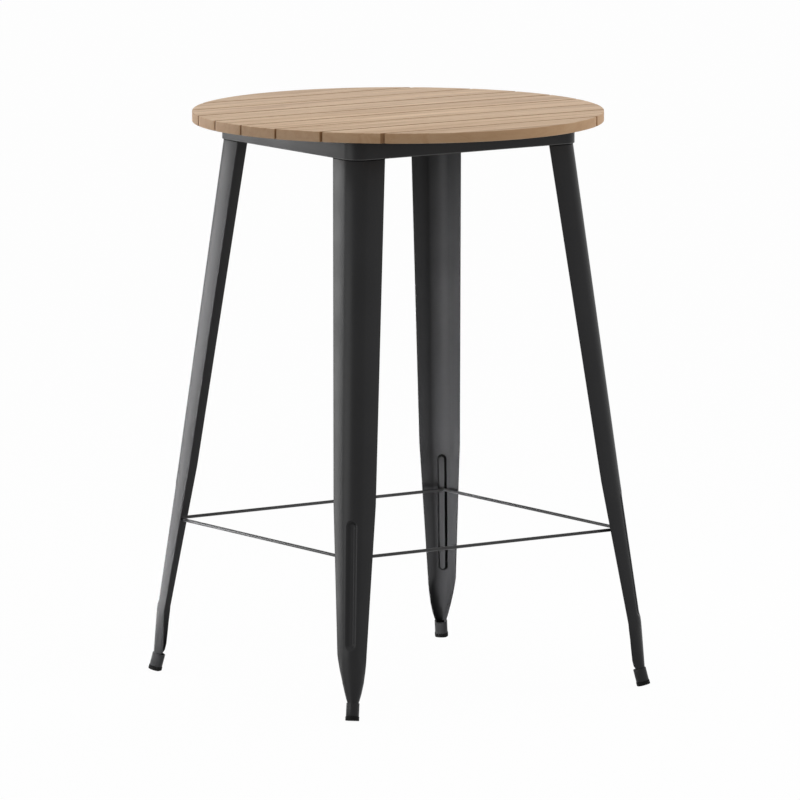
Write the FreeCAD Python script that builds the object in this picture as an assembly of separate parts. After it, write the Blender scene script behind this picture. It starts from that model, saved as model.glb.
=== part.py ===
import FreeCAD, Part
import math
import os

# Round slatted bar table: millimetres, +Z up, X along the slats.
# The origin is on the floor, below the middle of the top.

# Top
top_diameter = 762.0
table_height = 1066.8
slat_count = 9
slat_thickness = 19.0
slat_gap = 4.5
slat_edge_round = 1.5

# Apron frame: a folded sheet ring with a flange under the slats
apron_length = 509.2
apron_width = 454.2
apron_depth = 38.0
apron_sheet = 2.0
apron_corner_radius = 32.0
apron_flange = 25.0
apron_opening_radius = 10.0

# Slat rails: flat bars let into the apron's long sides
rail_spacing = 230.0
rail_width = 30.0
rail_thickness = 4.0
rail_end_inset = 56.0
rail_clearance = 0.3

# Slat screws
screw_shank_diameter = 4.2
screw_head_diameter = 8.0
screw_head_height = 2.6
screw_bite = 12.0
screw_pair_spacing = 40.0

# Corner gussets in the apron and plates on the legs
gusset_leg = 100.0
gusset_thickness = 3.0
leg_plate_thickness = 3.0

# Leg bolts, washers and nuts
bolt_diameter = 8.0
bolt_head_width = 13.0
bolt_head_height = 5.3
bolt_tail = 1.5
bolt_hole_clearance = 0.4
washer_diameter = 16.0
washer_thickness = 1.6
washer_edge_clearance = 2.0
nut_width = 13.0
nut_height = 6.5
nut_headroom = 7.0
bolt_reach_share = 0.62

# Legs: pressed sheet of V section, widths measured from the outer corner
leg_sheet = 2.0
leg_flange_top = 69.0
leg_flange_waist = 55.8
leg_flange_shoulder = 38.7
leg_round_waist = 29.5
leg_round_shoulder = 21.0
leg_waist_height = 387.0
leg_shoulder_height = 119.0
leg_floor_length = 688.0
leg_floor_width = 679.6
leg_clearance = 0.2

# Tip of a leg, rolled from a V at its shoulder to an open tube at the mouth of the sleeve:
# how far along, how much of the narrowing is done there, how much of a right angle
# the corner wraps to each side, and how much of the flat flange is left
tip_shares = (
    (0.15, 0.07, 0.58, 0.70),
    (0.35, 0.21, 0.72, 0.33),
    (0.60, 0.45, 0.97, 0.05),
    (0.80, 0.70, 1.17, 0.04),
    (0.92, 0.87, 1.32, 0.04),
    (1.0, 1.0, 1.30, 0.04),
)
tip_clearance = 0.15

# Rib pressed into the outer corner of a leg
rib_bottom = 133.0
rib_top = 358.0
rib_radius = 6.5
rib_depth = 7.0

# Brace ring of round rod, welded to the ribs inside the legs
brace_diameter = 6.0
brace_height = 292.2
brace_bearing = 67.5
weld_gap = 1.2
weld_bite_share = 0.8

# Feet: a leaning sleeve with a sole under it
foot_spacing = 655.6
foot_lean = 14.7
sleeve_diameter = 24.0
sleeve_wall = 1.5
sleeve_length = 24.5
sole_diameter = 25.4
sole_thickness = 7.5
sole_flat_depth = 1.2
stem_length = 9.0

# Overrun of every cutting shape
overrun = 5.0

# Values worked out from the sizes above
vector = FreeCAD.Vector
up = vector(0, 0, 1)
diagonal = math.cos(math.radians(45))
top_radius = top_diameter / 2
slat_pitch = top_diameter / slat_count
slat_bottom = table_height - slat_thickness
apron_bottom = slat_bottom - apron_depth
flange_bottom = slat_bottom - apron_sheet
rail_bottom = slat_bottom - rail_thickness
rail_half_length = top_radius - rail_end_inset
gusset_top = flange_bottom - nut_headroom - bolt_tail - nut_height
gusset_bottom = gusset_top - gusset_thickness
leg_top = gusset_bottom - leg_plate_thickness
bore_radius = sleeve_diameter / 2 - sleeve_wall
tip_radius = bore_radius - tip_clearance
brace_radius = brace_diameter / 2
quadrants = (
    ("front_left", -1, -1),
    ("front_right", 1, -1),
    ("back_left", -1, 1),
    ("back_right", 1, 1),
)


def mirrored(shape, side_x, side_y):
    # Copy of a shape from the back right quadrant in another one.
    result = shape.copy()
    if side_x < 0:
        result = result.mirror(vector(), vector(1, 0, 0))
    if side_y < 0:
        result = result.mirror(vector(), vector(0, 1, 0))
    return result


def cylinder(radius, height, base, axis=up):
    return Part.makeCylinder(radius, height, base, axis)


def prism(points, height):
    # Upright prism over a closed outline.
    outline = Part.makePolygon(points + points[:1])
    return Part.Face(outline).extrude(up * height)


def hexagon(width, height, base):
    # Hexagon prism, width measured across its flats.
    reach = width / math.sqrt(3)
    points = []
    for corner in range(6):
        angle = math.radians(60 * corner)
        points.append(base + vector(math.cos(angle), math.sin(angle), 0) * reach)
    return prism(points, height)


def rounded_block(length, width, radius, bottom, height):
    # Block centred on the Z axis, with rounded upright edges.
    block = Part.makeBox(length, width, height, vector(-length / 2, -width / 2, bottom))
    uprights = []
    for edge in block.Edges:
        ends = edge.Vertexes
        if math.isclose(ends[0].X, ends[1].X) and math.isclose(ends[0].Y, ends[1].Y):
            uprights.append(edge)
    return block.makeFillet(radius, uprights)


# Top
def slat_band(index):
    # Edges of a slat across the table; the outer slats run out to the rim.
    low = index * slat_pitch - top_radius + slat_gap / 2
    high = (index + 1) * slat_pitch - top_radius - slat_gap / 2
    if index == 0:
        low = -top_radius - overrun
    if index == slat_count - 1:
        high = top_radius + overrun
    return low, high


def rounded_disc():
    # The whole top as one disc with a rounded rim.
    disc = cylinder(top_radius, slat_thickness, vector(0, 0, slat_bottom))
    rims = [edge for edge in disc.Edges if edge.isClosed()]
    return disc.makeFillet(slat_edge_round, rims)


def rounded_bar(low, high):
    # A bar along X with rounded long edges, as wide as one slat.
    corner = vector(-top_radius - overrun, low, slat_bottom)
    length = top_diameter + overrun * 2
    bar = Part.makeBox(length, high - low, slat_thickness, corner)
    long_edges = []
    for edge in bar.Edges:
        ends = edge.Vertexes
        if math.isclose(ends[0].Y, ends[1].Y) and math.isclose(ends[0].Z, ends[1].Z):
            long_edges.append(edge)
    return bar.makeFillet(slat_edge_round, long_edges)


def screw_places():
    # Each screw's place in plan, the height its head bears on, and its slat.
    places = []
    flange_x = apron_length / 2 - apron_flange / 2
    flange_y = apron_width / 2 - apron_corner_radius
    for index in range(slat_count):
        low, high = slat_band(index)
        if low < -rail_half_length:
            across = [(high - rail_half_length) / 2]
        elif high > rail_half_length:
            across = [(low + rail_half_length) / 2]
        else:
            centre = (low + high) / 2
            across = [centre - screw_pair_spacing / 2, centre + screw_pair_spacing / 2]
        for side in (-1, 1):
            for y in across:
                places.append((side * rail_spacing / 2, y, rail_bottom, index))
            run_low = max(low, -flange_y)
            run_high = min(high, flange_y)
            if run_high - run_low > screw_head_diameter * 2:
                places.append((side * flange_x, (run_low + run_high) / 2, flange_bottom, index))
    return places


def screw(x, y, seat):
    head = cylinder(screw_head_diameter / 2, screw_head_height, vector(x, y, seat - screw_head_height))
    shank = cylinder(screw_shank_diameter / 2, slat_bottom + screw_bite - seat, vector(x, y, seat))
    return head.fuse(shank).removeSplitter()


def make_slats(screws):
    disc = rounded_disc()
    slats = []
    for index in range(slat_count):
        low, high = slat_band(index)
        slat = disc.common(rounded_bar(low, high))
        own = [shape for shape, place in screws if place[3] == index]
        slats.append(slat.cut(own))
    return slats


# Frame under the top
def make_rail(side, screws):
    corner = vector(side * rail_spacing / 2 - rail_width / 2, -rail_half_length, rail_bottom)
    rail = Part.makeBox(rail_width, rail_half_length * 2, rail_thickness, corner)
    own = [shape for shape, place in screws if place[0] * side > 0 and place[2] == rail_bottom]
    return rail.cut(own)


def apron_inside(bottom, height):
    # The room between the apron's walls.
    length = apron_length - apron_sheet * 2
    width = apron_width - apron_sheet * 2
    return rounded_block(length, width, apron_corner_radius - apron_sheet, bottom, height)


def make_apron(screws):
    ring = rounded_block(apron_length, apron_width, apron_corner_radius, apron_bottom, apron_depth)
    ring = ring.cut(apron_inside(apron_bottom - overrun, apron_depth - apron_sheet + overrun))
    opening_length = apron_length - apron_flange * 2
    opening_width = apron_width - apron_flange * 2
    opening_bottom = flange_bottom - overrun
    opening_height = apron_sheet + overrun * 2
    ring = ring.cut(rounded_block(opening_length, opening_width, apron_opening_radius,
                                  opening_bottom, opening_height))
    notch_width = rail_width + rail_clearance * 2
    notch_length = apron_width + overrun * 2
    for side in (-1, 1):
        corner = vector(side * rail_spacing / 2 - notch_width / 2, -notch_length / 2, rail_bottom)
        ring = ring.cut(Part.makeBox(notch_width, notch_length, rail_thickness + overrun, corner))
    own = [shape for shape, place in screws if place[2] == flange_bottom]
    return ring.cut(own)


# Legs, modelled in the back right quadrant
def leg_line(z):
    # The corner where the planes of a leg's outer faces meet, at a height.
    share = z / apron_bottom
    top_x = apron_length / 2 - apron_sheet - leg_clearance
    top_y = apron_width / 2 - apron_sheet - leg_clearance
    x = leg_floor_length / 2 * (1 - share) + top_x * share
    y = leg_floor_width / 2 * (1 - share) + top_y * share
    return vector(x, y, z)


def leg_size(z):
    # Flange width and outer corner radius at a height above the shoulder.
    low = (leg_shoulder_height, leg_flange_shoulder, leg_round_shoulder)
    high = (leg_waist_height, leg_flange_waist, leg_round_waist)
    if z > leg_waist_height:
        low, high = high, (leg_top, leg_flange_top, apron_corner_radius)
    share = (z - low[0]) / (high[0] - low[0])
    return [start + (end - start) * share for start, end in zip(low[1:], high[1:])]


def foot_turn(lean):
    return FreeCAD.Rotation(vector(1, -1, 0), lean)


def foot_point(u, v, along):
    # A point in the foot's own axes, measured from the middle of the sole's underside.
    height = sole_diameter / 2 * math.sin(math.radians(foot_lean)) - sole_flat_depth
    origin = vector(foot_spacing / 2, foot_spacing / 2, height)
    return origin + foot_turn(foot_lean).multVec(vector(u, v, along))


def corner_station(z):
    # Front point, corner radius, wrap, flat flange and lean of a V section above the tip.
    width, radius = leg_size(z)
    inset = radius * (1 - diagonal)
    return leg_line(z) - vector(inset, inset, 0), radius, math.radians(45), width - radius, 0


def leg_stations():
    # The sections of a leg, from its top to its end in the sleeve.
    stations = [corner_station(z) for z in (leg_top, leg_waist_height, leg_shoulder_height)]
    shoulder = stations[-1][0]
    shoulder_flat = leg_flange_shoulder - leg_round_shoulder
    shoulder_half = leg_flange_shoulder * diagonal
    out = tip_radius * diagonal
    mouth = foot_point(out, out, sole_thickness + sleeve_length)
    for along, narrowing, wrap_share, flat_share in tip_shares:
        half = shoulder_half + (tip_radius - shoulder_half) * narrowing
        wrap = math.radians(90 * wrap_share)
        flat = shoulder_flat * flat_share
        radius = half
        if wrap_share < 1:
            radius = (half - flat * math.cos(wrap)) / math.sin(wrap)
        front = shoulder + (mouth - shoulder) * along
        stations.append((front, radius, wrap, flat, foot_lean * along ** 2))
    end = foot_point(out, out, sole_thickness + stem_length)
    stations.append((end, tip_radius, wrap, flat, foot_lean))
    return stations


def leg_section(front, radius, wrap, flat, lean, filled):
    # Outline of a leg's section: an arc round the corner and a flat flange on from each end.
    # Filled closes it straight across the open side.
    turn = foot_turn(lean)

    def at(depth, angle, ahead):
        # A point so deep in the sheet: round the arc by an angle, then straight ahead.
        bearing = math.radians(45) + angle
        reach = radius - depth
        x = reach * math.cos(bearing) - ahead * math.sin(bearing) - radius * diagonal
        y = reach * math.sin(bearing) + ahead * math.cos(bearing) - radius * diagonal
        return front + turn.multVec(vector(x, y, 0))

    def bend(depth, start):
        return Part.Arc(at(depth, start, 0), at(depth, 0, 0), at(depth, -start, 0)).toShape()

    edges = [
        Part.makeLine(at(0, -wrap, -flat), at(0, -wrap, 0)),
        bend(0, -wrap),
        Part.makeLine(at(0, wrap, 0), at(0, wrap, flat)),
    ]
    if filled:
        edges.append(Part.makeLine(at(0, wrap, flat), at(0, -wrap, -flat)))
        return Part.Wire(edges)
    edges += [
        Part.makeLine(at(0, wrap, flat), at(leg_sheet, wrap, flat)),
        Part.makeLine(at(leg_sheet, wrap, flat), at(leg_sheet, wrap, 0)),
        bend(leg_sheet, wrap),
        Part.makeLine(at(leg_sheet, -wrap, 0), at(leg_sheet, -wrap, -flat)),
        Part.makeLine(at(leg_sheet, -wrap, -flat), at(0, -wrap, -flat)),
    ]
    return Part.Wire(edges)


def rib_axis(z):
    # Middle of the rib's round hollow in the leg's rounded corner.
    shift = (rib_radius - rib_depth) * diagonal
    return corner_station(z)[0] + vector(shift, shift, 0)


def rib_body(radius):
    # A round-ended bar along the rib.
    low = rib_axis(rib_bottom + rib_radius)
    high = rib_axis(rib_top - rib_radius)
    run = high - low
    bar = cylinder(radius, run.Length, low, run)
    return bar.fuse([Part.makeSphere(radius, low), Part.makeSphere(radius, high)])


def make_leg():
    stations = leg_stations()
    sheet = Part.makeLoft([leg_section(*station, False) for station in stations], True, True)
    body = Part.makeLoft([leg_section(*station, True) for station in stations], True, True)
    ridge = rib_body(rib_radius + leg_sheet).common(body)
    return sheet.fuse(ridge).cut(rib_body(rib_radius)).removeSplitter()


def bolt_places():
    # Two bolts beside each leg's flanges.
    corner = leg_line(leg_top)
    reach = leg_flange_top * bolt_reach_share
    inset = leg_sheet + washer_diameter / 2 + washer_edge_clearance
    return (
        vector(corner.x - reach, corner.y - inset, 0),
        vector(corner.x - inset, corner.y - reach, 0),
    )


def bolt_holes():
    radius = (bolt_diameter + bolt_hole_clearance) / 2
    height = gusset_top - leg_top + overrun * 2
    return [cylinder(radius, height, place + up * (leg_top - overrun)) for place in bolt_places()]


def make_leg_plate():
    outline = leg_section(*corner_station(leg_top), True)
    plate = Part.Face(outline).extrude(up * leg_plate_thickness)
    return plate.cut(bolt_holes())


def make_gusset():
    corner = vector(apron_length / 2, apron_width / 2, gusset_bottom)
    reach = gusset_leg + apron_sheet * 2
    points = [corner, corner - vector(reach, 0, 0), corner - vector(0, reach, 0)]
    plate = apron_inside(gusset_bottom, gusset_thickness).common(prism(points, gusset_thickness))
    return plate.cut(bolt_holes())


def make_bolt(place):
    washer_bottom = leg_top - washer_thickness
    head_bottom = washer_bottom - bolt_head_height
    head = hexagon(bolt_head_width, bolt_head_height, place + up * head_bottom)
    length = gusset_top + nut_height + bolt_tail - washer_bottom
    shank = cylinder(bolt_diameter / 2, length, place + up * washer_bottom)
    return head.fuse(shank).removeSplitter()


def make_washer(place):
    base = place + up * (leg_top - washer_thickness)
    disc = cylinder(washer_diameter / 2, washer_thickness, base)
    return disc.cut(cylinder((bolt_diameter + bolt_hole_clearance) / 2, washer_thickness, base))


def make_nut(place):
    base = place + up * gusset_top
    return hexagon(nut_width, nut_height, base).cut(cylinder(bolt_diameter / 2, nut_height, base))


# Brace ring
def brace_corner():
    # Where the axes of two rods meet, beside the ridge inside the leg.
    reach = rib_radius + leg_sheet + weld_gap + brace_radius
    angle = math.radians(brace_bearing)
    return rib_axis(brace_height) - vector(math.cos(angle), math.sin(angle), 0) * reach


def mitred_rod(half_run, distance):
    # A rod along X at y = -distance, mitred at both ends.
    spread = brace_diameter
    base = brace_height - spread
    start = vector(-half_run - spread, -distance, brace_height)
    rod = cylinder(brace_radius, (half_run + spread) * 2, start, vector(1, 0, 0))
    points = [
        vector(-half_run - spread, -distance - spread, base),
        vector(half_run + spread, -distance - spread, base),
        vector(half_run - spread, -distance + spread, base),
        vector(-half_run + spread, -distance + spread, base),
    ]
    return rod.common(prism(points, spread * 2))


def make_braces():
    corner = brace_corner()
    front = mitred_rod(corner.x, corner.y)
    right = mitred_rod(corner.y, corner.x)
    right.rotate(vector(), up, 90)
    return {
        "brace_front": front,
        "brace_back": mirrored(front, 1, -1),
        "brace_right": right,
        "brace_left": mirrored(right, -1, 1),
    }


def make_weld(leg, braces):
    # A bead between the corner of the ring and the ridge in the leg.
    # Its poles point at the two, so that both are cut away.
    axis = rib_axis(brace_height)
    towards = (brace_corner() - axis).normalize()
    centre = axis + towards * (rib_radius + leg_sheet + weld_gap)
    bead = Part.makeSphere(weld_gap + leg_sheet * weld_bite_share, centre, towards)
    return bead.cut([leg, braces["brace_back"], braces["brace_right"]])


# Feet
def make_sleeve():
    axis = foot_turn(foot_lean).multVec(up)
    base = foot_point(0, 0, sole_thickness)
    tube = cylinder(sleeve_diameter / 2, sleeve_length, base, axis)
    return tube.cut(cylinder(bore_radius, sleeve_length, base, axis))


def make_glide():
    axis = foot_turn(foot_lean).multVec(up)
    sole = cylinder(sole_diameter / 2, sole_thickness, foot_point(0, 0, 0), axis)
    stem = cylinder(bore_radius, stem_length, foot_point(0, 0, sole_thickness), axis)
    middle = foot_spacing / 2
    below = cylinder(sole_diameter, overrun, vector(middle, middle, -overrun))
    return sole.fuse(stem).removeSplitter().cut(below)


def export(name, shape):
    shape.exportStep("parts/" + name + ".step")


os.makedirs("parts", exist_ok=True)

screws = [(screw(*place[:3]), place) for place in screw_places()]
export("slat_screws", Part.makeCompound([shape for shape, place in screws]))
for number, slat in enumerate(make_slats(screws), 1):
    export("slat_" + str(number), slat)
export("slat_rail_left", make_rail(-1, screws))
export("slat_rail_right", make_rail(1, screws))
export("apron_frame", make_apron(screws))

leg = make_leg()
braces = make_braces()
for name, brace in braces.items():
    export(name, brace)
corner_pieces = {
    "leg": leg,
    "leg_plate": make_leg_plate(),
    "corner_gusset": make_gusset(),
    "foot_sleeve": make_sleeve(),
    "foot_glide": make_glide(),
}
for kind, shape in corner_pieces.items():
    for place, side_x, side_y in quadrants:
        export(kind + "_" + place, mirrored(shape, side_x, side_y))

fasteners = {
    "leg_bolts": [make_bolt(place) for place in bolt_places()],
    "leg_washers": [make_washer(place) for place in bolt_places()],
    "leg_nuts": [make_nut(place) for place in bolt_places()],
    "brace_welds": [make_weld(leg, braces)],
}
for name, shapes in fasteners.items():
    copies = [mirrored(shape, x, y) for place, x, y in quadrants for shape in shapes]
    export(name, Part.makeCompound(copies))
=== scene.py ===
import math

import bmesh
import bpy
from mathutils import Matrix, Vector


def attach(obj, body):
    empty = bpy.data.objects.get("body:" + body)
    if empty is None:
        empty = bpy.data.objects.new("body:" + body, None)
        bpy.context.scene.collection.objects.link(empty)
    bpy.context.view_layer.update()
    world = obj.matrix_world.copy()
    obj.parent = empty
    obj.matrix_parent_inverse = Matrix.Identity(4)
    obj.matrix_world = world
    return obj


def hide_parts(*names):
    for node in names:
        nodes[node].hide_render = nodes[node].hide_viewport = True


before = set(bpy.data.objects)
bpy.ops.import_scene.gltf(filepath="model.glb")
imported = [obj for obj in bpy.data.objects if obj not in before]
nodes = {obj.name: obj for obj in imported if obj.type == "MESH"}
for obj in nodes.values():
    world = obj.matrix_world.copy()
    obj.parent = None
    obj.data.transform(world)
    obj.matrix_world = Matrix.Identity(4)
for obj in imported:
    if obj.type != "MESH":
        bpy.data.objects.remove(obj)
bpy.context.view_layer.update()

quarters = {"front_left": (-1, -1), "front_right": (1, -1), "back_left": (-1, 1), "back_right": (1, 1)}
diagonal = math.cos(math.radians(45))
up = Vector((0, 0, 1))


# small tools for shapes
def dropSelection():
    if bpy.context.object and bpy.context.object.mode != "OBJECT":
        bpy.ops.object.mode_set(mode="OBJECT")
    bpy.ops.object.select_all(action="DESELECT")


def choose(piece):
    dropSelection()
    piece.select_set(True)
    bpy.context.view_layer.objects.active = piece


def openMesh(piece):
    choose(piece)
    bpy.ops.object.mode_set(mode="EDIT")


def closeMesh():
    bpy.ops.object.mode_set(mode="OBJECT")


def pick(piece, kind, test):
    # selects verts, edges or faces of the open mesh
    bpy.ops.mesh.select_mode(type={"verts": "VERT", "edges": "EDGE", "faces": "FACE"}[kind])
    bpy.ops.mesh.select_all(action="DESELECT")
    mesh = bmesh.from_edit_mesh(piece.data)
    for part in getattr(mesh, kind):
        if test(part):
            part.select_set(True)
    mesh.select_flush_mode()
    bmesh.update_edit_mesh(piece.data)


def facing(axis):
    # test for faces that look along an axis
    return lambda face: face.normal.dot(axis) > 0.9


def cutMesh(place, normal, **dropped):
    # cuts the whole open mesh, closes the cut and drops one side
    bpy.ops.mesh.select_all(action="SELECT")
    bpy.ops.mesh.bisect(plane_co=place, plane_no=normal, use_fill=True, **dropped)


def useModifier(piece, kind, **settings):
    choose(piece)
    modifier = piece.modifiers.new(kind.title(), kind)
    for key, value in settings.items():
        setattr(modifier, key, value)
    bpy.ops.object.modifier_apply(modifier=modifier.name)


def roundEdges(piece, width, segments, sharp=50):
    # only edges that turn by more than so many degrees
    useModifier(piece, "BEVEL", width=width, segments=segments, limit_method="ANGLE",
                angle_limit=math.radians(sharp))


def thicken(piece, sheet):
    # sheet metal laid on the inside of the drawn surface
    useModifier(piece, "SOLIDIFY", thickness=sheet, offset=-1, use_even_offset=True)


def combine(piece, tool, operation="DIFFERENCE"):
    useModifier(piece, "BOOLEAN", object=tool, operation=operation, solver="EXACT")
    bpy.data.objects.remove(tool)


def applyPlace(piece):
    choose(piece)
    bpy.ops.object.transform_apply(location=True, rotation=True, scale=True)


def smooth(piece, degrees=40):
    choose(piece)
    bpy.ops.object.shade_smooth_by_angle(angle=math.radians(degrees))


def addCylinder(points, radius, depth, place=(0, 0, 0), turn=(0, 0, 0), ends="NGON"):
    dropSelection()
    bpy.ops.mesh.primitive_cylinder_add(vertices=points, radius=radius, depth=depth, end_fill_type=ends,
                                        location=place, rotation=turn)
    piece = bpy.context.object
    applyPlace(piece)
    return piece


def addBox(size, place, turn=0):
    dropSelection()
    bpy.ops.mesh.primitive_cube_add(size=1, location=place)
    piece = bpy.context.object
    piece.scale = size
    piece.rotation_euler = (0, 0, turn)
    applyPlace(piece)
    return piece


def copyPiece(piece, name):
    choose(piece)
    bpy.ops.object.duplicate()
    twin = bpy.context.object
    twin.name = name
    return twin


def mirrorPiece(piece, name, sideX, sideY):
    # twin in another quarter of the table, faces turned outwards again
    twin = copyPiece(piece, name)
    twin.scale = (sideX, sideY, 1)
    applyPlace(twin)
    openMesh(twin)
    bpy.ops.mesh.select_all(action="SELECT")
    bpy.ops.mesh.normals_make_consistent(inside=False)
    closeMesh()
    return twin


def joinPieces(pieces, name):
    dropSelection()
    for piece in pieces:
        piece.select_set(True)
    bpy.context.view_layer.objects.active = pieces[0]
    bpy.ops.object.join()
    pieces[0].name = name
    return pieces[0]


def mark(piece, name, domain, values):
    # a number on each face or point, for the finish to read
    piece.data.attributes.new(name, "FLOAT", domain).data.foreach_set("value", values)


def fit(piece, material, slotName, *nodeNames):
    # finish, body and the solids that the piece stands for
    piece.data.materials.clear()
    piece.data.materials.append(material)
    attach(piece, "root")
    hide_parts(*nodeNames)


# small tools for finishes
def linear(hexText):
    # sRGB hex to the linear colour a shader takes
    parts = [int(hexText[i:i + 2], 16) / 255 for i in (1, 3, 5)]
    return [p / 12.92 if p <= 0.04045 else ((p + 0.055) / 1.055) ** 2.4 for p in parts] + [1.0]


def addNode(tree, kind, settings=None, links=None):
    node = tree.nodes.new(kind)
    for key, value in (settings or {}).items():
        if isinstance(key, int) or key in node.inputs:
            node.inputs[key].default_value = value
        else:
            setattr(node, key, value)
    for key, source in (links or {}).items():
        tree.links.new(source, node.inputs[key])
    return node


def newMaterial(name):
    material = bpy.data.materials.new(name)
    material.use_nodes = True
    material.node_tree.nodes.clear()
    return material, material.node_tree


def ownPlace(tree):
    return addNode(tree, "ShaderNodeTexCoord").outputs["Object"]


def noise(tree, place, sizeMm, settings):
    node = addNode(tree, "ShaderNodeTexNoise", {"Scale": 1000 / sizeMm, **settings}, {"Vector": place})
    return node.outputs["Fac"]


def ramp(tree, source, *stops):
    # stops are (place, hex)
    node = addNode(tree, "ShaderNodeValToRGB", None, {"Fac": source})
    elements = node.color_ramp.elements
    while len(elements) < len(stops):
        elements.new(0.5)
    for element, (place, colour) in zip(elements, stops):
        element.position = place
        element.color = linear(colour)
    return node.outputs["Color"]


def levels(tree, source, given, wanted):
    # maps one range of values to another
    ends = {"From Min": given[0], "From Max": given[1], "To Min": wanted[0], "To Max": wanted[1]}
    return addNode(tree, "ShaderNodeMapRange", ends, {"Value": source}).outputs[0]


def tint(tree, colour, hexText, share):
    node = addNode(tree, "ShaderNodeMix", {"data_type": "RGBA", 7: linear(hexText)}, {0: share, 6: colour})
    return node.outputs[2]


def bump(tree, source, strength, depth, invert=False):
    return addNode(tree, "ShaderNodeBump", {"Strength": strength, "Distance": depth, "invert": invert},
                   {"Height": source}).outputs[0]


def calculate(tree, operation, links, settings=None):
    return addNode(tree, "ShaderNodeMath", {"operation": operation, **(settings or {})}, links).outputs[0]


def closeMaterial(tree, settings, colour, roughness, normal, links=None):
    surface = addNode(tree, "ShaderNodeBsdfPrincipled", settings,
                      {"Base Color": colour, "Roughness": roughness, "Normal": normal, **(links or {})})
    addNode(tree, "ShaderNodeOutputMaterial", None, {"Surface": surface.outputs[0]})


# finishes
# most values of a noise lie between these
noiseMiddle = (0.3, 0.7)
# a colour with a number is a stop of a colour ramp
teak = {
    "dark": (0.28, "#a27c56"), "middle": (0.5, "#ccad8d"), "light": (0.74, "#e1c6a8"),
    # the rim colour is partly end grain and partly painted shade; the gap colour is painted shade
    "pore": "#7d5f40", "rimGrainAndShade": "#b28c66", "gapShadeTone": "#8c6743", "bandMm": 17, "poreMm": 1.1, "stretch": 22,
    "bandNoise": {"Detail": 5, "Roughness": 0.6, "Distortion": 0.6},
    "poreNoise": {"Detail": 2, "Roughness": 0.5},
    "poreRange": (0.58, 0.75), "poreShare": 0.65, "poreStrength": 0.35, "poreDepth": 0.0002,
    "plankShift": (3.7, 1.9, 2.3), "plankLevels": (0.93, 1.05), "rimFlatness": (0.2, 0.8), "rimGrainAndShadeShare": 0.75,
    "roughness": (0.5, 0.66), "surface": {"IOR": 1.5, "Specular IOR Level": 0.35},
}


def makeTeak():
    # teak, planed and sanded dry: long soft growth bands, fine dark pores along the grain, low sheen
    material, tree = newMaterial("sandedTeak")
    plank = addNode(tree, "ShaderNodeAttribute", {"attribute_name": "plank"})
    slide = addNode(tree, "ShaderNodeVectorMath", {"operation": "MULTIPLY", 1: teak["plankShift"]},
                    {0: plank.outputs["Vector"]})
    moved = addNode(tree, "ShaderNodeVectorMath", {"operation": "ADD"},
                    {0: ownPlace(tree), 1: slide.outputs[0]})
    along = addNode(tree, "ShaderNodeMapping", {"Scale": (1 / teak["stretch"], 1, 1)},
                    {"Vector": moved.outputs[0]}).outputs[0]
    bands = noise(tree, along, teak["bandMm"], teak["bandNoise"])
    tone = ramp(tree, bands, teak["dark"], teak["middle"], teak["light"])
    # each board was cut from another plank, so its tone differs a little
    level = levels(tree, plank.outputs["Fac"], (0, 1), teak["plankLevels"])
    board = addNode(tree, "ShaderNodeHueSaturation", None, {"Color": tone, "Value": level}).outputs["Color"]
    pores = levels(tree, noise(tree, along, teak["poreMm"], teak["poreNoise"]), teak["poreRange"],
                   (0, teak["poreShare"]))
    grain = tint(tree, board, teak["pore"], pores)
    # the turned rim is darker, partly for its end grain and partly as painted shade
    facing = addNode(tree, "ShaderNodeNewGeometry")
    normal = addNode(tree, "ShaderNodeSeparateXYZ", None, {0: facing.outputs["Normal"]})
    flatness = calculate(tree, "ABSOLUTE", {0: normal.outputs["Z"]})
    rimDarkShare = levels(tree, flatness, teak["rimFlatness"], (teak["rimGrainAndShadeShare"], 0))
    rimDarkened = tint(tree, grain, teak["rimGrainAndShade"], rimDarkShare)
    # painted shade on the sides and rounded edges along the gaps
    gapShade = addNode(tree, "ShaderNodeAttribute", {"attribute_name": "gapShade"})
    closeMaterial(tree, teak["surface"], tint(tree, rimDarkened, teak["gapShadeTone"], gapShade.outputs["Fac"]),
                  levels(tree, bands, noiseMiddle, teak["roughness"]),
                  bump(tree, pores, teak["poreStrength"], teak["poreDepth"], True))
    return material


coat = {
    # the edge colour is a painted highlight and the seam colour a painted shadow line
    "colour": (0.3, "#272728"), "worn": (0.7, "#2b2b2c"), "edge": "#505050", "paintedShadow": "#060606",
    "patchMm": 90, "peelMm": 3.0,
    # the rods' stronger sheen stands in for more light on them
    "seamHeight": 1.0098, "paintedLineHalf": 0.0009, "sheen": 0.15, "litRodSheen": 0.37, "paintedShadeSheen": 0.02,
    "roughness": (0.36, 0.44), "peelStrength": 0.12, "peelDepth": 0.0003,
}


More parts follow.
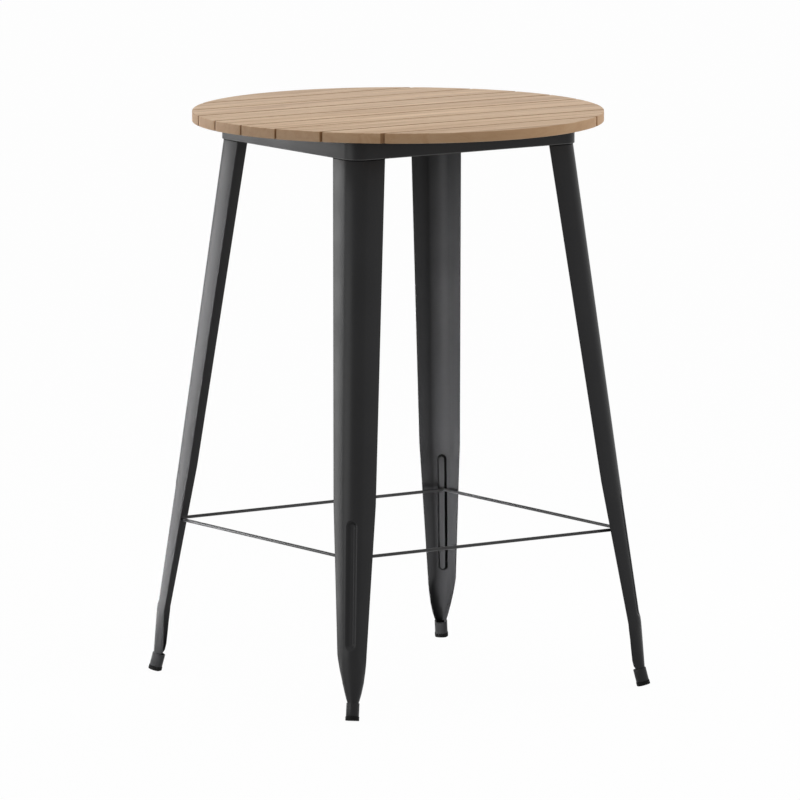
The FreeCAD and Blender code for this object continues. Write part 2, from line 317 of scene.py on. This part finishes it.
def makeCoat(name, sheenLevel):
    # steel with satin powder coat, baked: even charcoal, faint orange peel, soft wide highlights
    material, tree = newMaterial(name)
    place = ownPlace(tree)
    patch = noise(tree, place, coat["patchMm"], {"Detail": 3})
    colour = ramp(tree, patch, coat["colour"], coat["worn"])
    # painted highlight on the apron's lower edge, painted shadow line in the seam under it, and painted shade
    # along the rib's creases
    height = addNode(tree, "ShaderNodeSeparateXYZ", None, {0: place}).outputs["Z"]
    # a band just below the apron's lower edge for a painted shadow line, and one just above it for a painted
    # highlight
    shadowLine, highlightLine = [calculate(tree, "COMPARE", {0: height}, {1: coat["seamHeight"] + side * coat["paintedLineHalf"],
                                                            2: coat["paintedLineHalf"]}) for side in (-1, 1)]
    # painted shade along the flanks of the leg's rib, from the mark laid on the legs
    creaseShade = addNode(tree, "ShaderNodeAttribute", {"attribute_name": "creaseShade"})
    # painted shade wherever the shadow line or the creases are marked, with the sheen taken down
    dull = calculate(tree, "MAXIMUM", {0: shadowLine, 1: creaseShade.outputs["Fac"]})
    shadedColour = tint(tree, tint(tree, colour, coat["edge"], highlightLine), coat["paintedShadow"], dull)
    sheen = levels(tree, dull, (0, 1), (sheenLevel, coat["paintedShadeSheen"]))
    # real peel is about 1 mm, drawn three times as coarse so that it shows
    peel = noise(tree, place, coat["peelMm"], {"Detail": 1})
    closeMaterial(tree, {"IOR": 1.5}, shadedColour, levels(tree, patch, noiseMiddle, coat["roughness"]),
                  bump(tree, peel, coat["peelStrength"], coat["peelDepth"]), {"Specular IOR Level": sheen})
    return material


blackened = {"dull": (0.35, "#29292a"), "bright": (0.65, "#3c3c3e"), "cloudMm": 2.5}
# bright metal on the weld beads is a painted glint
glintWeldMetal = {"dull": (0.35, "#7f7f81"), "bright": (0.65, "#b9b9ba"), "cloudMm": 1.2}
steelSurface = {"roughness": (0.28, 0.45), "dentStrength": 0.1, "dentDepth": 0.0001}


def makeSteel(name, steel):
    # bare steel, cloudy: blackened and oiled for the fasteners; the weld beads are given bright metal as a
    # painted glint
    material, tree = newMaterial(name)
    cloud = noise(tree, ownPlace(tree), steel["cloudMm"], {"Detail": 3})
    colour = ramp(tree, cloud, steel["dull"], steel["bright"])
    roughness = levels(tree, cloud, noiseMiddle, steelSurface["roughness"])
    closeMaterial(tree, {"Metallic": 1.0}, colour, roughness,
                  bump(tree, cloud, steelSurface["dentStrength"], steelSurface["dentDepth"]))
    return material


rubber = {
    "colour": (0.35, "#090909"), "dust": (0.75, "#151515"), "grainMm": 0.8, "roughness": (0.62, 0.8),
    "grainStrength": 0.3, "grainDepth": 0.0002, "surface": {"IOR": 1.52, "Specular IOR Level": 0.12},
}


def makeRubber():
    # black rubber, moulded: dull, finely grained, a little dust in the grain
    material, tree = newMaterial("mouldedRubber")
    grain = noise(tree, ownPlace(tree), rubber["grainMm"], {"Detail": 4})
    colour = ramp(tree, grain, rubber["colour"], rubber["dust"])
    closeMaterial(tree, rubber["surface"], colour, levels(tree, grain, noiseMiddle, rubber["roughness"]),
                  bump(tree, grain, rubber["grainStrength"], rubber["grainDepth"]))
    return material


sandedTeak = makeTeak()
powderCoat = makeCoat("charcoalPowderCoat", coat["sheen"])
# the rods take a lit copy of the frame's coat: the same paint with a stronger sheen, standing in for more
# light on them
litRodCoat = makeCoat("rodLitCoat", coat["litRodSheen"])
blackOxide = makeSteel("blackOxide", blackened)
glintWeld = makeSteel("glintWeld", glintWeldMetal)
mouldedRubber = makeRubber()
print("finishes ready")


# slatted top: one disc for each slat, sawn at its gaps
top = {
    "radius": 0.38095, "height": 1.0668, "thickness": 0.019, "slats": 9, "gap": 0.0045, "edgeRound": 0.0015,
    "rimPoints": 288, "gapShadeFacing": 0.6, "boardTones": (0.2, 0.6, 0.3, 0.74, 0.5, 0.36, 0.8, 0.55, 0.46),
}


def slatBand(index):
    pitch = top["radius"] * 2 / top["slats"]
    low = index * pitch - top["radius"] + top["gap"] / 2
    return low, low + pitch - top["gap"]


def gapShadeFace(face):
    # faces along the gaps that get painted shade, the turned rim left out
    return abs(face.normal.y) > top["gapShadeFacing"] and face.center.xy.length < top["radius"] - top["gap"]


def makeSlat(index):
    slat = addCylinder(top["rimPoints"], top["radius"], top["thickness"],
                       (0, 0, top["height"] - top["thickness"] / 2))
    slat.name = "teakSlat_" + str(index + 1)
    low, high = slatBand(index)
    openMesh(slat)
    if index > 0:
        cutMesh((0, low, 0), (0, 1, 0), clear_inner=True)
    if index < top["slats"] - 1:
        cutMesh((0, high, 0), (0, 1, 0), clear_outer=True)
    closeMesh()
    roundEdges(slat, top["edgeRound"], 3, 40)
    smooth(slat)
    mark(slat, "gapShade", "FACE", [float(gapShadeFace(f)) for f in slat.data.polygons])
    mark(slat, "plank", "POINT", [top["boardTones"][index]] * len(slat.data.vertices))
    fit(slat, sandedTeak, "slats", "slat_" + str(index + 1))


for index in range(top["slats"]):
    makeSlat(index)
print("slats sawn and rounded")


# apron: folded sheet ring with a flange turned in under the slats
apron = {
    "length": 0.5092, "width": 0.4542, "depth": 0.038, "sheet": 0.002, "corner": 0.032, "cornerSegments": 16,
    "flange": 0.025, "top": 1.0478, "edgeRound": 0.0009,
    "railSpacing": 0.23, "notchWidth": 0.0306, "railThickness": 0.004,
}


def makeApron():
    ring = addBox((apron["length"], apron["width"], apron["depth"]),
                  (0, 0, apron["top"] - apron["depth"] / 2))
    ring.name = "foldedApron"
    openMesh(ring)
    pick(ring, "edges", lambda e: abs(e.verts[0].co.z - e.verts[1].co.z) > apron["depth"] / 2)
    bpy.ops.mesh.bevel(offset=apron["corner"], segments=apron["cornerSegments"])
    pick(ring, "faces", facing(-up))
    bpy.ops.mesh.delete(type="FACE")
    pick(ring, "faces", facing(up))
    bpy.ops.mesh.inset(thickness=apron["flange"])
    bpy.ops.mesh.delete(type="FACE")
    closeMesh()
    thicken(ring, apron["sheet"])
    # notches that let the rails in, cut a little past both walls
    for side in (-1, 1):
        combine(ring, addBox((apron["notchWidth"], apron["width"] * 1.1, apron["railThickness"] * 2),
                             (side * apron["railSpacing"] / 2, 0, apron["top"])))
    roundEdges(ring, apron["edgeRound"], 3)
    smooth(ring)
    fit(ring, powderCoat, "frame", "apron_frame")


makeApron()
print("apron folded")


# slat rails: flat bars with rolled edges
rail = {"width": 0.03, "halfLength": 0.325, "edgeRound": 0.001}


def makeRail(name, side):
    bar = addBox((rail["width"], rail["halfLength"] * 2, apron["railThickness"]),
                 (side * apron["railSpacing"] / 2, 0, apron["top"] - apron["railThickness"] / 2))
    bar.name = "flatRail_" + name
    roundEdges(bar, rail["edgeRound"], 3)
    smooth(bar)
    fit(bar, powderCoat, "frame", "slat_rail_" + name)


makeRail("left", -1)
makeRail("right", 1)
print("rails laid")


# legs: sheet of V section, rolled to an open tube at the tip, with a rib pressed in at the corner
leg = {
    "sheet": 0.002, "top": 1.0248, "waist": 0.387, "shoulder": 0.119,
    "flangeTop": 0.069, "flangeWaist": 0.0558, "flangeShoulder": 0.0387,
    "roundWaist": 0.0295, "roundShoulder": 0.021,
    "floorLength": 0.688, "floorWidth": 0.6796, "clearance": 0.0002,
    "arcColumns": 76, "rows": (8, 170, 2, 2, 2, 2, 2, 2, 2), "edgeRound": 0.0005,
}
# each tip stage: how far along, narrowing, wrap of the corner in right angles, share of the flat flange
tip = {
    "stages": ((0.15, 0.07, 0.58, 0.7), (0.35, 0.21, 0.72, 0.33), (0.6, 0.45, 0.97, 0.05),
               (0.8, 0.7, 1.17, 0.04), (0.92, 0.87, 1.32, 0.04), (1, 1, 1.3, 0.04)),
    "clearance": 0.00015,
}
# outside and inside give the rib's flat floor and its reach on each face of the sheet
rib = {
    "bottom": 0.133, "top": 0.358, "radius": 0.0065, "depth": 0.007,
    "outside": (0.0020, 0.0114), "inside": (0.0045, 0.0095), "creaseShadeGain": 4,
}
foot = {
    "spacing": 0.6556, "lean": math.radians(14.7), "sleeve": 0.024, "wall": 0.0015, "sleeveLength": 0.0245,
    "sole": 0.0254, "soleThickness": 0.0075, "flatDepth": 0.0012, "stem": 0.009, "edgeRound": 0.0004,
    "points": 64,
}
apronBottom = apron["top"] - apron["depth"]
bore = foot["sleeve"] / 2 - foot["wall"]


def between(start, end, share):
    return start + (end - start) * share


def legLine(z):
    # where the planes of a leg's two outer faces cross
    share = z / apronBottom
    topX = apron["length"] / 2 - apron["sheet"] - leg["clearance"]
    topY = apron["width"] / 2 - apron["sheet"] - leg["clearance"]
    return Vector((between(leg["floorLength"] / 2, topX, share),
                   between(leg["floorWidth"] / 2, topY, share), z))


def legSize(z):
    # flange width and corner round above the shoulder
    if z > leg["waist"]:
        share = (z - leg["waist"]) / (leg["top"] - leg["waist"])
        return (between(leg["flangeWaist"], leg["flangeTop"], share),
                between(leg["roundWaist"], apron["corner"], share))
    share = (z - leg["shoulder"]) / (leg["waist"] - leg["shoulder"])
    return (between(leg["flangeShoulder"], leg["flangeWaist"], share),
            between(leg["roundShoulder"], leg["roundWaist"], share))


def legFront(z):
    # foremost point of the rounded corner
    inset = legSize(z)[1] * (1 - diagonal)
    return legLine(z) - Vector((inset, inset, 0))


def ribAxis(z):
    shift = (rib["radius"] - rib["depth"]) * diagonal
    return legFront(z) + Vector((shift, shift, 0))


def footPoint(outward, along):
    # a point of the leaning foot: outward along the diagonal, along the sleeve
    sine, cosine = math.sin(foot["lean"]), math.cos(foot["lean"])
    flat = outward * cosine - along * sine
    height = foot["sole"] / 2 * sine - foot["flatDepth"] + outward * sine + along * cosine
    return Vector((foot["spacing"] / 2 + flat * diagonal, foot["spacing"] / 2 + flat * diagonal, height))


def turned(point):
    # the table's diagonal laid along X, so that a leg can lean about Y
    return Vector(((point.x + point.y) * diagonal, (point.y - point.x) * diagonal, point.z))


def legSection(front, radius, wrap, flat, lean):
    # points of one section: flange end, round the corner, other flange end
    angles = [between(-wrap, wrap, i / leg["arcColumns"]) for i in range(leg["arcColumns"] + 1)]
    points = [(radius * math.cos(a) - radius, radius * math.sin(a)) for a in angles]
    (x, y), reach, rise = points[-1], flat * math.sin(wrap), flat * math.cos(wrap)
    points = [(x - reach, -y - rise)] + points + [(x - reach, y + rise)]
    return [turned(front) + Vector((x * math.cos(lean), y, x * math.sin(lean))) for x, y in points]


def legRows():
    # sections from the top down, with rows filled in between the stages
    sections = []
    for z in (leg["top"], leg["waist"], leg["shoulder"]):
        width, bend = legSize(z)
        sections.append(legSection(legFront(z), bend, math.radians(45), width - bend, 0))
    # the tip goes on from the shoulder's width and bend
    tipRound = bore - tip["clearance"]
    shoulder = legFront(leg["shoulder"])
    mouth = footPoint(tipRound, foot["soleThickness"] + foot["sleeveLength"])
    for along, narrowing, wrapShare, flatShare in tip["stages"]:
        half = between(width * diagonal, tipRound, narrowing)
        wrap = math.radians(90 * wrapShare)
        flat = (width - bend) * flatShare
        radius = (half - flat * math.cos(wrap)) / math.sin(wrap) if wrapShare < 1 else half
        front = between(shoulder, mouth, along)
        sections.append(legSection(front, radius, wrap, flat, foot["lean"] * along ** 2))
    # the last stage's section runs on inside the sleeve
    end = footPoint(tipRound, foot["soleThickness"] + foot["stem"])
    sections.append(legSection(end, tipRound, wrap, flat, foot["lean"]))
    rows = [sections[0]]
    for above, below, count in zip(sections, sections[1:], leg["rows"]):
        for step in range(1, count + 1):
            rows.append([between(a, b, step / count) for a, b in zip(above, below)])
    return rows


def ribShare(point, floor, reach):
    # how far the corner is pressed in: fully as far as floor, then less and less out to the reach
    low, high = turned(ribAxis(rib["bottom"] + rib["radius"])), turned(ribAxis(rib["top"] - rib["radius"]))
    nearest = between(low, high, min(max((point.z - low.z) / (high.z - low.z), 0), 1))
    gap = math.hypot(point.y - nearest.y, point.z - nearest.z)
    share = min(max((reach - gap) / (reach - floor), 0), 1)
    return share * share * (3 - 2 * share)


def makeLeg():
    rows = legRows()
    acrossCount, downCount = len(rows[0]) - 1, len(rows) - 1
    dropSelection()
    bpy.ops.mesh.primitive_grid_add(x_subdivisions=acrossCount, y_subdivisions=downCount, size=1)
    sheet = bpy.context.object
    # the flat blank is drawn to shape row by row
    for v in sheet.data.vertices:
        v.co = rows[round((0.5 - v.co.y) * downCount)][round((v.co.x + 0.5) * acrossCount)]
    # the drawn side has to face outwards
    if sum(f.normal.x * f.area for f in sheet.data.polygons) < 0:
        openMesh(sheet)
        bpy.ops.mesh.select_all(action="SELECT")
        bpy.ops.mesh.flip_normals()
        closeMesh()
    outerCount = len(sheet.data.vertices)
    thicken(sheet, leg["sheet"])
    # the rib has soft lips outside and a crisp ridge inside; both flanks of the ridge are marked for painted
    # shade
    creaseShade = []
    for v in sheet.data.vertices:
        inner = v.index >= outerCount
        share = ribShare(v.co, *rib["inside" if inner else "outside"])
        v.co.x -= rib["depth"] * share
        creaseShade.append(min(rib["creaseShadeGain"] * (1 - abs(2 * share - 1)), 1) if inner else 0)
    mark(sheet, "creaseShade", "POINT", creaseShade)
    roundEdges(sheet, leg["edgeRound"], 2, 60)
    sheet.rotation_euler = (0, 0, math.radians(45))
    applyPlace(sheet)
    smooth(sheet)
    return sheet


# feet: a leaning sleeve with a moulded sole under it
def leaningCylinder(across, length, along, ends="NGON"):
    return addCylinder(foot["points"], across / 2, length, footPoint(0, along),
                       (0, -foot["lean"], math.radians(45)), ends)


def makeSleeve():
    sleeve = leaningCylinder(foot["sleeve"], foot["sleeveLength"],
                             foot["soleThickness"] + foot["sleeveLength"] / 2, "NOTHING")
    thicken(sleeve, foot["wall"])
    roundEdges(sleeve, foot["edgeRound"], 2)
    smooth(sleeve)
    return sleeve


def makeSole():
    sole = leaningCylinder(foot["sole"], foot["soleThickness"], foot["soleThickness"] / 2)
    openMesh(sole)
    # plug that sits in the sleeve, drawn up from the sole
    axis = (footPoint(0, 1) - footPoint(0, 0)).normalized()
    pick(sole, "faces", facing(axis))
    bpy.ops.mesh.inset(thickness=foot["sole"] / 2 - bore)
    bpy.ops.mesh.extrude_region_move(TRANSFORM_OT_translate={"value": axis * foot["stem"]})
    # flat that it stands on
    cutMesh((0, 0, 0), (0, 0, 1), clear_inner=True)
    closeMesh()
    roundEdges(sole, foot["edgeRound"], 3)
    # the rounding may not reach below the floor
    for v in sole.data.vertices:
        v.co.z = max(v.co.z, 0)
    smooth(sole)
    return sole


def fitQuarters(first, label, material, slotName, node):
    for name, (sideX, sideY) in quarters.items():
        fit(mirrorPiece(first, label + name, sideX, sideY), material, slotName, node + name)
    bpy.data.objects.remove(first)


fitQuarters(makeLeg(), "pressedLeg_", powderCoat, "frame", "leg_")
print("legs pressed")
fitQuarters(makeSleeve(), "footSleeve_", powderCoat, "frame", "foot_sleeve_")
fitQuarters(makeSole(), "mouldedSole_", mouldedRubber, "soles", "foot_glide_")
print("feet fitted")


# brace ring of round rod, mitred and welded at the ribs
brace = {"radius": 0.003, "height": 0.2922, "bearing": math.radians(67.5), "points": 32}
weld = {"gap": 0.0012, "radius": 0.0024, "points": 32, "rings": 20, "rippleSize": 0.0016, "ripple": 0.0009,
        "rippleMiddle": 0.6, "smooth": 60}


def ringCorner():
    reach = rib["radius"] + leg["sheet"] + weld["gap"] + brace["radius"]
    outward = Vector((math.cos(brace["bearing"]), math.sin(brace["bearing"]), 0))
    return ribAxis(brace["height"]) - outward * reach


def makeRod(name, half, place, turn):
    # half is the run to the mitre; turn lays the rod along X or Y
    rod = addCylinder(brace["points"], brace["radius"], half * 2 + brace["radius"] * 4,
                      turn=(0, math.radians(90), 0))
    rod.name = "braceRod_" + name
    openMesh(rod)
    for side in (-1, 1):
        cutMesh((side * half, 0, 0), (side, -1, 0), clear_outer=True)
    closeMesh()
    rod.rotation_euler = (0, 0, math.radians(turn))
    rod.location = place
    applyPlace(rod)
    smooth(rod)
    fit(rod, litRodCoat, "frame", "brace_" + name)


def makeWelds():
    axis = ribAxis(brace["height"])
    towards = (ringCorner() - axis).normalized()
    middle = axis + towards * (rib["radius"] + leg["sheet"] + weld["gap"])
    beads = []
    for sideX, sideY in quarters.values():
        dropSelection()
        bpy.ops.mesh.primitive_uv_sphere_add(segments=weld["points"], ring_count=weld["rings"],
                                             radius=weld["radius"],
                                             location=(middle.x * sideX, middle.y * sideY, middle.z))
        bead = bpy.context.object
        applyPlace(bead)
        ripple = bpy.data.textures.new("weldRipple", "CLOUDS")
        ripple.noise_scale = weld["rippleSize"]
        useModifier(bead, "DISPLACE", texture=ripple, strength=weld["ripple"], mid_level=weld["rippleMiddle"],
                    texture_coords="LOCAL")
        beads.append(bead)
    welds = joinPieces(beads, "weldBeads")
    smooth(welds, weld["smooth"])
    fit(welds, glintWeld, "welds", "brace_welds")


corner = ringCorner()
# the mitre runs long on the outer side, which is -Y before the turn
makeRod("front", corner.x, (0, -corner.y, brace["height"]), 0)
makeRod("right", corner.y, (corner.x, 0, brace["height"]), 90)
makeRod("back", corner.x, (0, corner.y, brace["height"]), 180)
makeRod("left", corner.y, (-corner.x, 0, brace["height"]), 270)
makeWelds()
print("brace ring welded")


# fasteners
screw = {
    "head": 0.008, "headHeight": 0.0026, "shank": 0.0042, "bite": 0.012, "pair": 0.04, "points": 24,
    "dome": 0.55, "domeSegments": 4, "recess": 0.0048, "slotWidth": 0.0011, "slotDepth": 0.0014,
    "turnStep": 37,
}


def screwPlaces():
    places = []
    railUnder = apron["top"] - apron["railThickness"]
    flangeUnder = apron["top"] - apron["sheet"]
    flangeX = apron["length"] / 2 - apron["flange"] / 2
    flangeY = apron["width"] / 2 - apron["corner"]
    for index in range(top["slats"]):
        low, high = slatBand(index)
        middle = (low + high) / 2
        across = [middle - screw["pair"] / 2, middle + screw["pair"] / 2]
        if index == 0:
            across = [(high - rail["halfLength"]) / 2]
        if index == top["slats"] - 1:
            across = [(low + rail["halfLength"]) / 2]
        runLow, runHigh = max(low, -flangeY), min(high, flangeY)
        for side in (-1, 1):
            places += [(side * apron["railSpacing"] / 2, y, railUnder) for y in across]
            if runHigh - runLow > screw["head"] * 2:
                places.append((side * flangeX, (runLow + runHigh) / 2, flangeUnder))
    return places


def makeScrews():
    # pan head down, cross recess cut by two crossed blades
    pan = addCylinder(screw["points"], screw["head"] / 2, screw["headHeight"],
                      (0, 0, -screw["headHeight"] / 2))
    openMesh(pan)
    pick(pan, "edges", lambda e: all(v.co.z < -screw["headHeight"] * 0.9 for v in e.verts))
    bpy.ops.mesh.bevel(offset=screw["headHeight"] * screw["dome"], segments=screw["domeSegments"])
    pick(pan, "faces", facing(up))
    bpy.ops.mesh.inset(thickness=(screw["head"] - screw["shank"]) / 2)
    bpy.ops.mesh.extrude_region_move(TRANSFORM_OT_translate={"value": (0, 0, screw["bite"])})
    closeMesh()
    for turn in (0, 90):
        combine(pan, addBox((screw["recess"], screw["slotWidth"], screw["slotDepth"] * 2),
                            (0, 0, -screw["headHeight"]), math.radians(turn)))
    copies = []
    for number, place in enumerate(screwPlaces()):
        twin = copyPiece(pan, "panScrew")
        twin.location = place
        # each one stopped at its own turn
        twin.rotation_euler = (0, 0, math.radians(number * screw["turnStep"] % 90))
        applyPlace(twin)
        copies.append(twin)
    bpy.data.objects.remove(pan)
    screws = joinPieces(copies, "panScrews")
    smooth(screws)
    fit(screws, blackOxide, "fasteners", "slat_screws")


bolt = {
    "shank": 0.008, "head": 0.013, "headHeight": 0.0053, "washer": 0.016, "washerThickness": 0.0016,
    "washerPlay": 0.0002, "washerRound": 0.0002, "edgeClearance": 0.002, "reachShare": 0.62,
    "nutHeight": 0.0065, "tail": 0.0015, "tailRound": 0.0007, "gussetTop": 1.0308, "chamfer": 0.0009,
    "points": 32, "washerPoints": 48,
}
washerUnder = leg["top"] - bolt["washerThickness"]


def boltPlaces():
    inner = legLine(leg["top"])
    reach = leg["flangeTop"] * bolt["reachShare"]
    inset = leg["sheet"] + bolt["washer"] / 2 + bolt["edgeClearance"]
    return ((inner.x - reach, inner.y - inset), (inner.x - inset, inner.y - reach))


def hexBlock(height, bottom):
    # hexagon with its corners turned off, the head measured across its flats
    block = addCylinder(6, bolt["head"] / math.sqrt(3), height, (0, 0, bottom + height / 2),
                        (0, 0, math.radians(30)))
    openMesh(block)
    pick(block, "verts", lambda v: True)
    bpy.ops.mesh.bevel(offset=bolt["chamfer"], segments=2, affect="VERTICES")
    closeMesh()
    return block


def makeBolt():
    head = hexBlock(bolt["headHeight"], washerUnder - bolt["headHeight"])
    length = bolt["gussetTop"] + bolt["nutHeight"] + bolt["tail"] - washerUnder
    shank = addCylinder(bolt["points"], bolt["shank"] / 2, length, (0, 0, washerUnder + length / 2))
    openMesh(shank)
    pick(shank, "edges", lambda e: all(v.co.z > washerUnder + length * 0.9 for v in e.verts))
    bpy.ops.mesh.bevel(offset=bolt["tailRound"], segments=2)
    closeMesh()
    combine(head, shank, "UNION")
    return head


def pierce(blank, radius, bottom, height):
    # the drill stands out on both sides
    combine(blank, addCylinder(bolt["points"], radius, height * 3, (0, 0, bottom + height / 2)))
    return blank


def makeWasher():
    disc = addCylinder(bolt["washerPoints"], bolt["washer"] / 2, bolt["washerThickness"],
                       (0, 0, washerUnder + bolt["washerThickness"] / 2))
    pierce(disc, bolt["shank"] / 2 + bolt["washerPlay"], washerUnder, bolt["washerThickness"])
    roundEdges(disc, bolt["washerRound"], 2)
    return disc


def makeNut():
    return pierce(hexBlock(bolt["nutHeight"], bolt["gussetTop"]), bolt["shank"] / 2, bolt["gussetTop"],
                  bolt["nutHeight"])


def fitBolted(first, label, node):
    copies = []
    for sideX, sideY in quarters.values():
        for x, y in boltPlaces():
            twin = copyPiece(first, label)
            twin.location = (x * sideX, y * sideY, 0)
            applyPlace(twin)
            copies.append(twin)
    bpy.data.objects.remove(first)
    group = joinPieces(copies, label)
    smooth(group)
    fit(group, blackOxide, "fasteners", node)


makeScrews()
fitBolted(makeBolt(), "hexBolts", "leg_bolts")
fitBolted(makeWasher(), "flatWashers", "leg_washers")
fitBolted(makeNut(), "hexNuts", "leg_nuts")
print("fasteners driven")


# plates that stay as the frame gives them
for name in quarters:
    for node in ("corner_gusset_" + name, "leg_plate_" + name):
        nodes[node].data.materials.clear()
        nodes[node].data.materials.append(powderCoat)
print("plates coated")


# floor, light and camera
studio = {"floor": "#d4d4d4", "floorSize": 120, "whiteShare": 0.97, "ambient": 0.5}
white = (1, 1, 1, 1)
# the first two show only as sheen, the next three only as plain light
lamps = {
    "keyCard": {"place": (-0.62, 0.72, 0.66), "aim": (-0.3, 0.22, 0.66), "size": (0.3, 1.25), "power": 0.88,
                "spread": 50, "plain": False},
    "sidePanel": {"place": (-1.75, 0, 0.57), "aim": (0, 0, 0.57), "size": (1.4, 1.2), "power": 15,
                  "plain": False},
    "fillBox": {"place": (-2.4, -0.1, 0.73), "aim": (0.3, 0.28, 0.61), "size": (0.3, 0.55), "power": 2.1,
                "spread": 13, "sheen": False},
    "lowBox": {"place": (-2.2, -0.1, 0.07), "aim": (0.3, 0.28, 0.2), "size": (0.35, 0.1), "power": 2.2,
               "spread": 17, "sheen": False},
    "sideBox": {"place": (2.37, -1.08, 0.7), "aim": (0, 0, 0.7), "size": (0.8, 1.2), "power": 22,
                "sheen": False},
    "overBox": {"place": (-0.1, -0.2, 2.9), "aim": (0, 0, 1), "size": (2.2, 2.2), "power": 16},
}
view = {"place": (-9.4874, -13.7304, 2.9545), "yaw": 34.656, "pitch": 8.2849, "lens": 408.49, "sensor": 36,
        "clip": (0.1, 300)}


def seenDirectly(tree):
    # 1 where it is seen, straight on, in metal or through glass
    rays = addNode(tree, "ShaderNodeLightPath").outputs
    seen = calculate(tree, "MAXIMUM", {0: rays["Is Camera Ray"], 1: rays["Is Glossy Ray"]})
    return calculate(tree, "MAXIMUM", {0: seen, 1: rays["Is Transmission Ray"]})


def makeFloor():
    dropSelection()
    bpy.ops.mesh.primitive_plane_add(size=studio["floorSize"])
    floor = bpy.context.object
    floor.name = "studioFloor"
    material, tree = newMaterial("paleFloor")
    seen = seenDirectly(tree)
    share = calculate(tree, "MULTIPLY", {0: seen}, {1: studio["whiteShare"]})
    pale = addNode(tree, "ShaderNodeMix", {"data_type": "RGBA", 6: linear(studio["floor"]), 7: white},
                   {0: seen})
    matt = addNode(tree, "ShaderNodeBsdfDiffuse", None, {"Color": pale.outputs[2]})
    glow = addNode(tree, "ShaderNodeEmission", {"Color": white, "Strength": 1})
    blend = addNode(tree, "ShaderNodeMixShader", None, {0: share, 1: matt.outputs[0], 2: glow.outputs[0]})
    addNode(tree, "ShaderNodeOutputMaterial", None, {"Surface": blend.outputs[0]})
    floor.data.materials.append(material)


def makeWorld():
    world = bpy.data.worlds.new("studio")
    bpy.context.scene.world = world
    world.use_nodes = True
    tree = world.node_tree
    tree.nodes.clear()
    level = levels(tree, seenDirectly(tree), (0, 1), (studio["ambient"], 1))
    air = addNode(tree, "ShaderNodeBackground", {"Color": white}, {"Strength": level})
    addNode(tree, "ShaderNodeOutputWorld", None, {"Surface": air.outputs[0]})


def makeLamp(name, place, aim, size, power, spread=180, plain=True, sheen=True):
    lamp = bpy.data.lights.new(name, "AREA")
    lamp.shape = "RECTANGLE"
    lamp.size, lamp.size_y = size
    lamp.energy = power
    lamp.spread = math.radians(spread)
    holder = bpy.data.objects.new(name, lamp)
    bpy.context.scene.collection.objects.link(holder)
    holder.location = place
    holder.rotation_euler = (Vector(aim) - Vector(place)).to_track_quat("-Z", "Y").to_euler()
    holder.visible_camera = False
    holder.visible_diffuse = plain
    holder.visible_glossy = sheen


def makeCamera():
    camera = bpy.data.cameras.new("viewer")
    camera.sensor_width = view["sensor"]
    camera.lens = view["lens"]
    camera.clip_start, camera.clip_end = view["clip"]
    holder = bpy.data.objects.new("viewer", camera)
    bpy.context.scene.collection.objects.link(holder)
    holder.location = view["place"]
    holder.rotation_euler = (math.radians(90 - view["pitch"]), 0, -math.radians(view["yaw"]))
    bpy.context.scene.camera = holder


makeFloor()
makeWorld()
for name, settings in lamps.items():
    makeLamp(name, **settings)
makeCamera()
bpy.context.scene.view_settings.view_transform = "Standard"
print("studio set")
